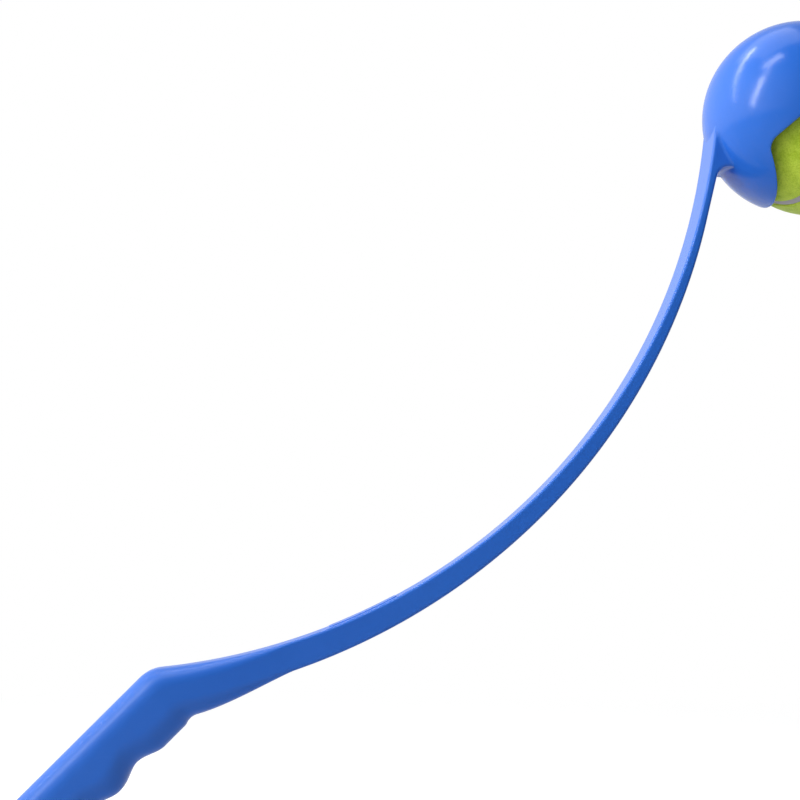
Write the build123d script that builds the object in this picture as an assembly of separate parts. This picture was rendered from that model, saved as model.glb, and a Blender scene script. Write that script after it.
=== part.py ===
"""Hand-held dog ball thrower: one moulding with a contoured grip, a curved arm that tapers in
depth, and a snap-in cup, holding a felt-covered ball.

Frame: millimetres, +Z up, the throwing arm curves in the XZ plane, which is the plane of symmetry.
The origin is the middle of the grip, where the palm closes round it.

The moulding is kept as three solids that meet face to face: grip, throwing_arm and ball_cup.
"""
from build123d import *
from math import acos, cos, degrees, pi, radians, sin, sqrt, tan
import os

os.makedirs("parts", exist_ok=True)

# ---------------------------------------------------------------- driving dimensions (mm, degrees)
# ball
ball_radius = 32.6
felt_thickness = 2.6
glue_line = 0.08               # felt to rubber core
core_wall = 3.3
seam_width = 2.6
seam_recess = 0.5              # seam strip below the felt
seam_gap = 0.06                # between seam strip and each felt edge
lobe_tilt = 20.0               # how far each felt lobe's centre lies off the ball's equator
ball_turn = (-167.3, -8.9, 56.6)  # how the ball happens to lie, about X, Y and Z

# cup
cup_clearance = 1.2            # ball to the cup's inner wall, all round when centred
cup_wall = 2.2
ball_offset = 6.8              # the ball sits this far towards the mouth, against the lips
hood_rim_angle = 40.0          # slope of the hood's rim, whose plane passes through the cup's centre
lip_plane_angle = 25.0         # direction that the short lower lip's edge plane faces
lip_plane_share = 0.686        # that plane's distance behind the centre, as a share of the outer radius
notch_radius = 4.6             # inner corner between hood and lip, on both sides
rim_rounding = 0.9             # on both edges of the rim

# arm
arm_width = 18.8
arm_radius = 224.7             # concave face
arm_depth_grip = 10.0
arm_depth_cup = 3.0
arm_edge_radius = 1.1
arm_start_angle = -73.0        # where the arm leaves the grip, about the arc's centre
arm_end_angle = -15.0          # where the arm meets the cup's web
cup_angle = -4.3               # direction of the cup's centre from the arc's centre
web_run = 20.1                 # from the arm's end to the web's underside, along the convex face
web_radius = 5.0               # under the arm, into that underside
web_blend = 2.5                # from the web's faces into the cup's outer sphere
web_overlap = 1.0              # how far the web runs on past the cup's centre line, in degrees
pad_length = 27.0              # blank raised pad on the concave face
pad_width = 11.0
pad_height = 0.4
pad_angle = -65.5              # its middle, about the arc's centre

# grip
grip_angle = 45.0              # slope of the grip's axis
grip_width = 23.0
grip_depth = 22.0              # mean, across the finger side
grip_corner = 8.5
finger_pitch = 22.0
finger_ripple = 1.45           # each groove below, each ridge above the mean depth
finger_grooves = 3              # whole grooves below the shoulder; the first finger sits in front of it
shoulder_run = 10.0            # from the first ridge to the shoulder
butt_run = 14.0                # from the last ridge to where the butt rounds off
neck_rings = 14                # rings of points that each stretch of the grip's skin is drawn through
straight_rings = 32
butt_rings = 5
ring_flats = 3
ring_bends = 7
skin_tolerance = 0.02
least_flat = 0.04              # share of each side of a ring that always stays flat
neck_lean_ease = 1.3           # how late the neck's rings lean over, and how late they deepen
neck_depth_ease = 1.25
shoulder_radius = 12.0         # where the grip's back turns into the arm
shoulder_heading = 5.4         # slope of the arm's concave face where the shoulder starts
butt_flare = 3.0               # extra depth at the butt
butt_round = 7.0
hang_hole_radius = 4.0
hang_hole_inset = 11.0         # hole's centre from the butt's end

# ---------------------------------------------------------------- derived places


def direction(angle):
    """Unit vector in the XZ plane, at an angle above +X."""
    return Vector(cos(radians(angle)), 0, sin(radians(angle)))


cup_inner = ball_radius + cup_clearance
cup_outer = cup_inner + cup_wall

grip_up = direction(grip_angle)                  # along the grip, towards the arm
finger_side = direction(grip_angle - 90)         # across it, towards the fingers
first_ridge = finger_pitch * finger_grooves / 2
last_ridge = -first_ridge
back_start = first_ridge + shoulder_run
butt_start = last_ridge - butt_run
back_end = butt_start - butt_round


def grip_back(along):
    """Point on the straight back of the grip, along its axis from the origin."""
    return grip_up * along - finger_side * (grip_depth / 2)


shoulder_low = grip_back(back_start)
shoulder_centre = shoulder_low + finger_side * shoulder_radius
shoulder_high = shoulder_centre + direction(90 + shoulder_heading) * shoulder_radius
arc_centre = shoulder_high + direction(90 + shoulder_heading) * arm_radius
cup_centre = arc_centre + direction(cup_angle) * (arm_radius + cup_inner)
hood_normal = direction(hood_rim_angle + 90)
lip_normal = direction(lip_plane_angle)


def concave(angle):
    """Point on the arm's concave face."""
    return arc_centre + direction(angle) * arm_radius


def arm_depth(angle):
    """Depth of the arm, tapering evenly with the angle."""
    share = (angle - arm_start_angle) / (arm_end_angle - arm_start_angle)
    return arm_depth_grip + (arm_depth_cup - arm_depth_grip) * share


def convex(angle):
    """Point on the arm's convex face."""
    return concave(angle) + direction(angle) * arm_depth(angle)


def slab(outline, width):
    """Solid of a closed XZ outline, centred on the plane of symmetry."""
    face = make_face(outline)
    return extrude(face, width / 2, dir=(0, 1, 0), both=True)


# ---------------------------------------------------------------- grip


def grip_depth_at(along):
    """Depth of the straight grip: ridges between the fingers, and a flare at the butt."""
    ripple = -cos(2 * pi * along / finger_pitch) if along < first_ridge else 1.0
    flare = max(0.0, last_ridge - along) / (last_ridge - back_end)
    return grip_depth + finger_ripple * ripple + butt_flare * flare ** 2


def half_ring(top, toward, depth, width, corner):
    """Points round the +Y half of a rounded rectangle, from its top middle to its lower middle."""
    corner = min(corner, depth / 2 * (1 - least_flat), width / 2 * (1 - least_flat))
    reach, side = depth / 2 - corner, width / 2 - corner
    flat = [(-depth / 2, side * k / ring_flats) for k in range(ring_flats)]
    bend = [(-reach - corner * cos(k * pi / 2 / ring_bends), side + corner * sin(k * pi / 2 / ring_bends))
            for k in range(ring_bends)]
    wall = [(-reach * (1 - k / ring_flats), width / 2) for k in range(ring_flats)]
    upper = flat + bend + wall
    lower = [(-across, y) for across, y in reversed(upper)]
    middle = top + toward * (depth / 2)
    return [middle + toward * across + Vector(0, y, 0) for across, y in upper + [(0, width / 2)] + lower]


def neck_ring(share):
    """Ring of the neck, where the arm turns over the shoulder and swells into the grip."""
    arc_end = shoulder_heading - 90
    arc_run = radians(arc_end - arm_start_angle) * -arm_radius
    bend_run = radians(grip_angle - shoulder_heading) * shoulder_radius
    run = share * (arc_run + bend_run)
    if run < arc_run:
        top = concave(arm_start_angle - degrees(run / arm_radius))
    else:
        turned = degrees((run - arc_run) / shoulder_radius)
        top = shoulder_centre + direction(90 + shoulder_heading + turned) * shoulder_radius
    lean = arm_start_angle + (grip_angle - 90 - arm_start_angle) * share ** neck_lean_ease
    depth = arm_depth_grip + (grip_depth_at(back_start) - arm_depth_grip) * share ** neck_depth_ease
    width = arm_width + (grip_width - arm_width) * share
    corner = arm_edge_radius + (grip_corner - arm_edge_radius) * share
    return half_ring(top, direction(lean), depth, width, corner)


def grip_ring(along, inset=0.0):
    """Ring across the straight grip, drawn in all round by the inset."""
    top = grip_back(along) + finger_side * inset
    depth = grip_depth_at(along) - 2 * inset
    return half_ring(top, finger_side, depth, grip_width - 2 * inset, grip_corner - inset / 2)


def grip_rings():
    """Rings from the arm's end, over the shoulder and down the grip, to the rounded butt."""
    neck = [neck_ring(step / neck_rings) for step in range(neck_rings)]
    straight = [grip_ring(back_start + (butt_start - back_start) * step / straight_rings)
                for step in range(straight_rings)]
    turns = [85 * step / butt_rings for step in range(butt_rings + 1)]
    butt = [grip_ring(butt_start - butt_round * sin(radians(turn)), butt_round * (1 - cos(radians(turn))))
            for turn in turns]
    return neck + straight + butt


hole_along = back_end + hang_hole_inset
hole_centre = grip_up * hole_along + finger_side * (grip_depth_at(hole_along) - grip_depth) / 2


def make_grip():
    """Contoured grip: one smooth skin mirrored about the plane of symmetry, closed at both ends."""
    half = Face.make_surface_from_array_of_points(grip_rings(), tol=skin_tolerance)
    skin = [half, half.mirror(Plane.XZ)]
    edges = [edge for face in skin for edge in face.edges() if not is_on_symmetry(edge)]
    caps = [make_face(pair) for pair in pair_ends(edges)]
    body = Solid(Shell(skin + caps))
    hole = Cylinder(hang_hole_radius, grip_width * 2, rotation=(90, 0, 0))
    return body - Pos(hole_centre) * hole


def is_on_symmetry(edge):
    """Whether an edge runs along the plane of symmetry."""
    return abs((edge @ 0.5).Y) < 0.01


def pair_ends(edges):
    """Pair each +Y end edge with its mirror image, which meets it at both ends."""
    near = [edge for edge in edges if (edge @ 0.5).Y > 0]
    return [[edge, edge.mirror(Plane.XZ)] for edge in near]


# ---------------------------------------------------------------- throwing arm


def make_arm():
    """Curved arm between two radial faces, with a blank raised pad near the grip."""
    middle = (arm_start_angle + arm_end_angle) / 2
    outline = [
        ThreePointArc(concave(arm_start_angle), concave(middle), concave(arm_end_angle)),
        Line(concave(arm_end_angle), convex(arm_end_angle)),
        ThreePointArc(convex(arm_end_angle), convex(middle), convex(arm_start_angle)),
        Line(convex(arm_start_angle), concave(arm_start_angle)),
    ]
    bar = slab(outline, arm_width)
    long_edges = [e for e in bar.edges() if e.length > arm_width * 2]
    bar = fillet(long_edges, min(arm_edge_radius, arm_depth_cup * 0.4))
    half = degrees(pad_length / 2 / arm_radius)
    low, high = pad_angle - half, pad_angle + half
    raised = arm_radius - pad_height
    pad = slab([
        ThreePointArc(concave(low), concave(pad_angle), concave(high)),
        Line(concave(high), arc_centre + direction(high) * raised),
        ThreePointArc(arc_centre + direction(high) * raised, arc_centre + direction(pad_angle) * raised,
                      arc_centre + direction(low) * raised),
        Line(arc_centre + direction(low) * raised, concave(low)),
    ], pad_width)
    return bar + pad


# ---------------------------------------------------------------- cup


def web_outline():
    """Side outline of the web that carries the arm into the cup, closed at the cup's centre.

    Its underside is square to the arm's convex face, and a fillet leads from the one to the other.
    """
    foot = convex(arm_end_angle)
    along = (foot - convex(arm_end_angle - 1)).normalized()
    across = Vector(along.Z, 0, -along.X)
    corner = foot + along * web_run
    centre = corner + (across - along) * web_radius
    low = centre - across * web_radius
    high = centre + along * web_radius
    middle = centre + (along - across).normalized() * web_radius
    end = corner + across * (cup_centre - corner).dot(across)
    top = cup_angle + web_overlap
    return [
        ThreePointArc(concave(arm_end_angle), concave((arm_end_angle + top) / 2), concave(top)),
        Line(concave(top), cup_centre),
        Line(cup_centre, end),
        Line(end, high),
        ThreePointArc(high, middle, low),
        Line(low, foot),
        Line(foot, concave(arm_end_angle)),
    ]


def mouth_cutter():
    """Prism that opens the cup: below the hood's rim and in front of the lower lip."""
    far = cup_outer * 3
    rim_run = direction(hood_rim_angle)
    lip_run = direction(lip_plane_angle - 90)
    lip_point = cup_centre - lip_normal * (lip_plane_share * cup_outer)
    # the rim's line passes through the centre: find where it crosses the lip's line
    share = (lip_point - cup_centre).dot(lip_normal) / rim_run.dot(lip_normal)
    corner = cup_centre + rim_run * share
    rim_far = corner + rim_run * far
    lip_far = corner + lip_run * far
    outline = Polyline(corner, rim_far, rim_far + lip_run * far, lip_far, close=True)
    face = make_face(outline)
    inner = face.vertices().sort_by_distance(corner)[0]
    face = fillet(inner, notch_radius)
    return extrude(face, cup_outer * 1.5, dir=(0, 1, 0), both=True)


def make_cup():
    """Cup: a sphere's wall cut to a hood and a short lower lip, with the arm's web."""
    web = slab(web_outline(), arm_width)
    long_edges = [e for e in web.edges() if abs((e @ 0.5).Y) > arm_width / 4 and e.length > arm_depth_cup * 1.1
                  and min((e @ 0 - cup_centre).length, (e @ 1 - cup_centre).length) > cup_outer * 0.7]
    web = fillet(long_edges, min(arm_edge_radius, arm_depth_cup * 0.4))
    body = Pos(cup_centre) * Sphere(cup_outer) + web
    body = fillet([e for e in body.edges() if lies_on_sphere(e, cup_outer)], web_blend)
    body = body - Pos(cup_centre) * Sphere(cup_inner)
    body = body - mouth_cutter()
    edges = [e for e in body.edges() if lies_on_sphere(e, cup_outer) or lies_on_sphere(e, cup_inner)]
    rim = [e for e in edges if (e @ 0.5).X > cup_centre.X - cup_outer * 0.6]
    return fillet(rim, rim_rounding)


def lies_on_sphere(edge, radius):
    """Whether an edge lies on that sphere about the cup's centre, other than the sphere's own seam."""
    points = [edge @ share for share in (0.25, 0.5, 0.75)]
    on_sphere = all(abs((point - cup_centre).length - radius) < 0.01 for point in points)
    return on_sphere and max(abs(point.Y) for point in points) > 0.01


# ---------------------------------------------------------------- ball
lobe_radius = degrees(acos(-sin(radians(lobe_tilt)) ** 2)) / 2
felt_inner = ball_radius - felt_thickness
core_outer = felt_inner - glue_line
core_inner = core_outer - core_wall
# the ball leaves midway between the hood's inner edge and the lower lip's
lip_spread = degrees(acos(lip_plane_share * cup_outer / cup_inner))
exit_angle = (hood_rim_angle + lip_plane_angle - 180 + lip_spread) / 2
ball_centre = cup_centre + direction(exit_angle) * ball_offset
ball_place = Pos(ball_centre) * Rot(*ball_turn)


def lobe_cone(axis, half_angle):
    """Cone from the ball's centre, well past the felt."""
    height = ball_radius * 1.3
    cone = Cone(0, height * tan(radians(half_angle)), height, align=(Align.CENTER, Align.CENTER, Align.MIN))
    return Plane(origin=(0, 0, 0), z_dir=axis).location * cone


def panel_region(margin):
    """Space of one dog-bone panel: two lobes below the equator, joined over the top pole.

    The seam is made of four circles that touch at the equator. The margin, in degrees, moves this
    panel's edge in from the seam's middle.
    """
    tilt = radians(lobe_tilt)
    size = ball_radius * 3
    region = Box(size, size, size / 2, align=(Align.CENTER, Align.CENTER, Align.MIN))
    for side in (1, -1):
        region -= lobe_cone((0, side * cos(tilt), sin(tilt)), lobe_radius + margin)
    for side in (1, -1):
        region += lobe_cone((side * cos(tilt), 0, -sin(tilt)), lobe_radius - margin)
    return region


def make_ball():
    """Two rubber half shells, two felt panels and the seam strip between them."""
    other = Rot(0, 0, 90) * Rot(180, 0, 0)
    seam_half = degrees(seam_width / 2 / ball_radius)
    edge_half = degrees((seam_width / 2 + seam_gap) / ball_radius)
    felt = Sphere(ball_radius) - Sphere(felt_inner)
    felt_region = panel_region(edge_half)
    seam_region = panel_region(seam_half)
    seam = Sphere(ball_radius - seam_recess) - Sphere(felt_inner)
    seam = seam - seam_region - other * seam_region
    core = Sphere(core_outer) - Sphere(core_inner)
    half_space = Box(3 * core_outer, 3 * core_outer, 2 * core_outer,
                     align=(Align.CENTER, Align.CENTER, Align.MIN))
    pieces = {
        "felt_panel_front": felt & felt_region,
        "felt_panel_back": felt & (other * felt_region),
        "seam_strip": seam,
        "core_half_upper": core & half_space,
        "core_half_lower": core - half_space,
    }
    return {name: ball_place * piece for name, piece in pieces.items()}


# ---------------------------------------------------------------- write the parts
nodes = {"grip": make_grip(), "throwing_arm": make_arm(), "ball_cup": make_cup()}
nodes.update(make_ball())
for name, shape in nodes.items():
    solids = shape.solids()
    export_step(solids[0] if len(solids) == 1 else Compound(solids), f"parts/{name}.step")
    box = shape.bounding_box()
    print(f"{name:18s} {len(solids)} solid(s) {shape.volume:10.1f} mm3  "
          f"x {box.min.X:7.1f}..{box.max.X:7.1f}  y {box.min.Y:6.1f}..{box.max.Y:6.1f}  "
          f"z {box.min.Z:7.1f}..{box.max.Z:7.1f}")
for label, point in (("cup centre", cup_centre), ("ball centre", ball_centre),
                     ("hang hole", hole_centre), ("arc centre", arc_centre)):
    print(f"{label:12s} {point.X:8.2f} {point.Y:6.2f} {point.Z:8.2f}")
print(f"exit angle {exit_angle:.2f}")
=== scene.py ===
"""Looks of a hand-held dog ball launcher: one glossy blue moulding and the felt ball in its cup.

All sizes are in millimetres until a mesh is made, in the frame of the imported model: +Z up, the
launcher's plane of symmetry is XZ, and the origin is the middle of the grip.
"""

import logging
import math
from dataclasses import dataclass
from enum import Enum
from typing import Callable

import bmesh
import bpy
import numpy as np
from mathutils import Matrix

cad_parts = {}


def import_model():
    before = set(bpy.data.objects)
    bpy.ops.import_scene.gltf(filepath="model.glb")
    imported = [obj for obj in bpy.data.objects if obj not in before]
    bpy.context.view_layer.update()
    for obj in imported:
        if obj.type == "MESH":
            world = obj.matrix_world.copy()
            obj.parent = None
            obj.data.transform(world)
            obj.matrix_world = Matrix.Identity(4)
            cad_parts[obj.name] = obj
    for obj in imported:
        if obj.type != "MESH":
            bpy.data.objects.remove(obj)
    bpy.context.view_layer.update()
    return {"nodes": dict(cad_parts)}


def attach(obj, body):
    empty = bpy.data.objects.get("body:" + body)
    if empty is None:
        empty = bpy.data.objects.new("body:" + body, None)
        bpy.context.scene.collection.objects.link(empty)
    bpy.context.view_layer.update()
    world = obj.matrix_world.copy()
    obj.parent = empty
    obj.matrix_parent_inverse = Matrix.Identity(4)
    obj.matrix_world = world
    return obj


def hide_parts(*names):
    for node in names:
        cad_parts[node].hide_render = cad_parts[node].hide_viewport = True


log = logging.getLogger("ball_launcher")
MM = 0.001
SLOPE_STEP = 0.02  # of central differences, in millimetres
Pair = tuple[float, float]
Triple = tuple[float, float, float]
Socket = bpy.types.NodeSocket


# ---------------------------------------------------------------- arrays and meshes


def heading(angle: float | np.ndarray) -> np.ndarray:
    """Unit vectors in the XZ plane.

    Formula: (cos a, 0, sin a).

    Args:
        angle: degrees above +X, one value or an array.

    Returns:
        Array whose last axis holds the three coordinates.
    """
    turned = np.radians(np.asarray(angle, float))
    return np.stack([np.cos(turned), np.zeros_like(turned), np.sin(turned)], axis=-1)


def unit(vectors: np.ndarray) -> np.ndarray:
    """Vectors scaled to length one along the last axis."""
    return vectors / np.maximum(np.linalg.norm(vectors, axis=-1, keepdims=True), 1e-12)


def ease(share: np.ndarray) -> np.ndarray:
    """Smooth step from 0 to 1: s squared times (3 - 2 s), with s held between 0 and 1."""
    held = np.clip(share, 0.0, 1.0)
    return held * held * (3.0 - 2.0 * held)


def round_union(a: np.ndarray, b: np.ndarray, radius: float, facing: np.ndarray | float = 0.0) -> np.ndarray:
    """Distance to two shapes joined with a fillet, as a ball rolled along their joint leaves it.

    Formula: with c the cosine between the two outward normals, the ball's centre lies at a = b = r;
    the way back from it has the shares p = ((r - a) - c (r - b)) / (1 - c c) and the mirrored q. Where
    both are positive the distance is r less the root of p p + q q + 2 c p q, elsewhere min(a, b).

    Args:
        a: signed distance to the first shape.
        b: signed distance to the second.
        radius: the fillet's radius.
        facing: cosine of the angle between the shapes' normals.

    Returns:
        Signed distance to the joined shape.
    """
    first, second = radius - a, radius - b
    spread = np.maximum(1.0 - np.square(facing), 1e-6)
    share_a, share_b = (first - facing * second) / spread, (second - facing * first) / spread
    apart = np.sqrt(np.maximum(share_a ** 2 + share_b ** 2 + 2 * facing * share_a * share_b, 0.0))
    return np.where((share_a > 0) & (share_b > 0), radius - apart, np.minimum(a, b))


def round_overlap(a: np.ndarray, b: np.ndarray, radius: float) -> np.ndarray:
    """Distance to what two shapes share, its outer corner rounded: the mirror of round_union."""
    return -round_union(-a, -b, radius)


def slope_of(distance: Callable[[np.ndarray], np.ndarray], points: np.ndarray) -> np.ndarray:
    """Gradient of a distance by central differences."""
    rises = [distance(points + probe) - distance(points - probe) for probe in SLOPE_STEP * np.eye(3)]
    return np.stack(rises, axis=-1) / (2 * SLOPE_STEP)


def make_mesh(name: str, points: np.ndarray, faces: np.ndarray, smooth: bool = True) -> bpy.types.Object:
    """Put a grid of points into a mesh object at the origin.

    Args:
        name: the object's name.
        points: (n, 3) places in millimetres.
        faces: (m, 3) or (m, 4) corner indices.
        smooth: whether faces are shaded smooth.

    Returns:
        The new object, linked to the scene.
    """
    mesh = bpy.data.meshes.new(name)
    corners = faces.shape[1]
    mesh.vertices.add(len(points))
    mesh.vertices.foreach_set("co", np.ascontiguousarray(points * MM, np.float32).ravel())
    mesh.loops.add(faces.size)
    mesh.loops.foreach_set("vertex_index", np.ascontiguousarray(faces, np.int32).ravel())
    mesh.polygons.add(len(faces))
    mesh.polygons.foreach_set("loop_start", np.arange(0, faces.size, corners, dtype=np.int32))
    mesh.polygons.foreach_set("use_smooth", np.full(len(faces), smooth))
    mesh.update(calc_edges=True)
    mesh.validate()
    obj = bpy.data.objects.new(name, mesh)
    bpy.context.scene.collection.objects.link(obj)
    return obj


def grid_faces(rows: int, columns: int, loop: bool) -> np.ndarray:
    """Quads of a grid of rows by columns.

    Args:
        rows: number of rows of points.
        columns: number of points in a row.
        loop: whether the last column joins the first.

    Returns:
        (m, 4) indices into the flattened grid.
    """
    across = np.arange(columns if loop else columns - 1)
    down = np.arange(rows - 1)[:, None]
    after = (across + 1) % columns
    quads = [down * columns + across, down * columns + after,
             (down + 1) * columns + after, (down + 1) * columns + across]
    return np.stack(quads, axis=-1).reshape(-1, 4)


def close_up(obj: bpy.types.Object, gap: float = 0.002) -> None:
    """Merge doubled points, drop empty faces and point all faces outwards.

    Args:
        obj: a mesh that closes on itself once its doubles are merged.
        gap: how far apart doubles may lie, in millimetres.
    """
    work = bmesh.new()
    work.from_mesh(obj.data)
    bmesh.ops.remove_doubles(work, verts=work.verts, dist=gap * MM)
    bmesh.ops.dissolve_degenerate(work, edges=work.edges, dist=gap * MM * 0.1)
    bmesh.ops.recalc_face_normals(work, faces=work.faces)
    work.to_mesh(obj.data)
    work.free()
    obj.data.update()


def skin(name: str, grid: np.ndarray, loop: bool) -> bpy.types.Object:
    """Closed smooth mesh from a grid of points, one row after another.

    Args:
        name: the object's name.
        grid: (rows, columns, 3) places in millimetres.
        loop: whether each row closes on itself.

    Returns:
        The object, its poles merged and its faces outwards.
    """
    rows, columns = grid.shape[:2]
    obj = make_mesh(name, grid.reshape(-1, 3), grid_faces(rows, columns, loop))
    close_up(obj)
    return obj


# ---------------------------------------------------------------- finishes


class Tint(Enum):
    """Colours of the launcher, as scene-linear red, green and blue."""

    MOULDED_BLUE = (0.025, 0.167, 0.73)
    FELT_YELLOW = (0.72, 0.90, 0.09)
    # painted shade: the felt's darker colour deep between the fibres, where the nap shades itself
    FELT_PAINTED_SHADE = (0.48, 0.68, 0.03)
    SEAM_GREY = (0.50, 0.47, 0.50)
    CORE_BLACK = (0.03, 0.03, 0.032)
    FLOOR_WHITE = (0.86, 0.86, 0.86)
    FLOOR_GREY = (0.62, 0.62, 0.62)


class NodeSheet:
    """A node tree being laid out: adds nodes and fills their inputs with links and plain values."""

    def __init__(self, tree: bpy.types.NodeTree) -> None:
        """Take an empty tree."""
        self.tree = tree
        self.count = 0

    def add(self, kind: str, label: str = "", inputs: dict[str | int, object] | None = None,
            **values: object) -> bpy.types.Node:
        """Add a node.

        Args:
            kind: the node's Blender type name.
            label: words that show on the node.
            inputs: what its inputs take, as for fill.
            values: properties of the node by name, set before its inputs.

        Returns:
            The new node.
        """
        node = self.tree.nodes.new(kind)
        node.label = label
        node.location = (220 * (self.count % 8), -260 * (self.count // 8))
        self.count += 1
        for key, value in values.items():
            setattr(node, key, value)
        self.fill(node, inputs or {})
        return node

    def fill(self, node: bpy.types.Node, inputs: dict[str | int, object]) -> None:
        """Fill a node's inputs.

        Args:
            node: the node.
            inputs: by name or number, the output that feeds each or its plain value.
        """
        for key, value in inputs.items():
            if isinstance(value, Socket):
                self.tree.links.new(value, node.inputs[key])
            else:
                node.inputs[key].default_value = value

    def calc(self, operation: str, label: str, *terms: object) -> Socket:
        """Output of a Math node on these terms."""
        return self.add("ShaderNodeMath", label, dict(enumerate(terms)), operation=operation).outputs[0]

    def noise(self, label: str, place: Socket, scale: Socket, detail: float) -> Socket:
        """Output of a noise, about a half on average."""
        inputs = {"Vector": place, "Scale": scale, "Detail": detail}
        return self.add("ShaderNodeTexNoise", label, inputs).outputs["Fac"]

    def span(self, label: str, value: Socket, source: Pair, target: Pair = (0.0, 1.0),
             **values: object) -> Socket:
        """A value carried from one span to another and held within it.

        Args:
            label: words that show on the node.
            value: the value.
            source: where it comes from.
            target: where it goes.
            values: further properties of the node.

        Returns:
            The carried value.
        """
        inputs = {"Value": value, "From Min": source[0], "From Max": source[1],
                  "To Min": target[0], "To Max": target[1]}
        return self.add("ShaderNodeMapRange", label, inputs, **values).outputs["Result"]

    def blend(self, label: str, share: Socket, first: object, second: object, **values: object) -> Socket:
        """Mix of two colours, each an output or red, green and blue.

        Args:
            label: words that show on the node.
            share: share of the second.
            first: one colour.
            second: the other.
            values: further properties of the node.

        Returns:
            The mixed colour.
        """
        a, b = (side if isinstance(side, Socket) else (*side, 1.0) for side in (first, second))
        inputs = {"Factor": share, "A": a, "B": b}
        return self.add("ShaderNodeMix", label, inputs, data_type="RGBA", **values).outputs["Result"]

    def relief(self, label: str, height: Socket, depth: float, strength: float) -> Socket:
        """Normal of a bump of this depth in metres."""
        inputs = {"Height": height, "Distance": depth, "Strength": strength}
        return self.add("ShaderNodeBump", label, inputs).outputs["Normal"]

    def either(self, share: Socket, first: Socket, second: Socket) -> Socket:
        """Mix of two shaders."""
        return self.add("ShaderNodeMixShader", "", {"Fac": share, 1: first, 2: second}).outputs[0]

    def use(self, tree: bpy.types.NodeTree, place: Socket, **inputs: float) -> bpy.types.Node:
        """Place a shared group on these coordinates, its other inputs by name."""
        return self.add("ShaderNodeGroup", tree.name, {"Vector": place, **inputs}, node_tree=tree)


def start_group(name: str, numbers: tuple[str, ...], results: tuple[str, ...]) -> tuple[
        NodeSheet, bpy.types.Node, bpy.types.Node]:
    """Empty shared group whose first input is a Vector.

    Args:
        name: the group's name.
        numbers: names of its further inputs.
        results: names of its outputs.

    Returns:
        Its sheet, its input node and its output node.
    """
    tree = bpy.data.node_groups.new(name, "ShaderNodeTree")
    tree.interface.new_socket("Vector", in_out="INPUT", socket_type="NodeSocketVector")
    for side, titles in (("INPUT", numbers), ("OUTPUT", results)):
        for title in titles:
            tree.interface.new_socket(title, in_out=side, socket_type="NodeSocketFloat")
    sheet = NodeSheet(tree)
    return sheet, sheet.add("NodeGroupInput"), sheet.add("NodeGroupOutput")


def grain_group() -> bpy.types.NodeTree:
    """Shared group of fine surface grain, from three octave sizes of noise on one place.

    Returns:
        A tree with inputs Vector, Scale and Softness, and outputs Height (0 to 1) and Mottle, a
        slow variation for colour and roughness.
    """
    name = "surface grain"
    if name in bpy.data.node_groups:
        return bpy.data.node_groups[name]
    sheet, entry, leave = start_group(name, ("Scale", "Softness"), ("Height", "Mottle"))
    place, scale = entry.outputs["Vector"], entry.outputs["Scale"]
    fine = sheet.noise("fine grain", place, scale, detail=1.0)
    coarse_scale = sheet.calc("DIVIDE", "a seventh of the scale", scale, 7.0)
    coarse = sheet.noise("slow swell", place, coarse_scale, detail=1.5)
    slow_scale = sheet.calc("DIVIDE", "a sixtieth of the scale", scale, 60.0)
    slow = sheet.noise("mottle", place, slow_scale, detail=4.0)
    height = sheet.add("ShaderNodeMix", "softness mixes fine into slow", {
        "Factor": entry.outputs["Softness"], "A": fine, "B": coarse}, data_type="FLOAT")
    sheet.fill(leave, {"Height": height.outputs["Result"], "Mottle": slow})
    return sheet.tree


def wear_group() -> bpy.types.NodeTree:
    """Shared group of handling marks: short hairlines where stretched noise crosses a threshold.

    Returns:
        A tree with inputs Vector, Scale and Amount, and output Marks (0 to 1).
    """
    name = "handling marks"
    if name in bpy.data.node_groups:
        return bpy.data.node_groups[name]
    sheet, entry, leave = start_group(name, ("Scale", "Amount"), ("Marks",))
    place, scale = entry.outputs["Vector"], entry.outputs["Scale"]
    stretch = sheet.add("ShaderNodeMapping", "long and thin", {
        "Vector": place, "Rotation": (0.0, math.radians(-38.0), 0.0), "Scale": (0.12, 1.0, 1.0)})
    lines = sheet.noise("hairlines", stretch.outputs["Vector"], scale, detail=2.0)
    patches_scale = sheet.calc("DIVIDE", "a thirtieth of the scale", scale, 30.0)
    patches = sheet.noise("where they gather", place, patches_scale, detail=2.0)
    sharp = sheet.span("only the peaks", lines, (0.66, 0.74))
    gather = sheet.span("patches", patches, (0.48, 0.66))
    both = sheet.calc("MULTIPLY", "hairlines in patches", sharp, gather)
    amount = sheet.calc("MULTIPLY", "amount", both, entry.outputs["Amount"])
    sheet.fill(leave, {"Marks": amount})
    return sheet.tree


def start_material(name: str) -> tuple[bpy.types.Material, NodeSheet, bpy.types.Node, Socket]:
    """Empty material with a Principled shader and the object's own coordinates.

    Args:
        name: the material's name.

    Returns:
        The material, its sheet, its Principled node and the Object coordinates' socket.
    """
    material = bpy.data.materials.new(name)
    material.use_nodes = True
    material.node_tree.nodes.clear()
    sheet = NodeSheet(material.node_tree)
    shader = sheet.add("ShaderNodeBsdfPrincipled")
    sheet.add("ShaderNodeOutputMaterial", "", {"Surface": shader.outputs["BSDF"]})
    return material, sheet, shader, sheet.add("ShaderNodeTexCoord").outputs["Object"]


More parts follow.
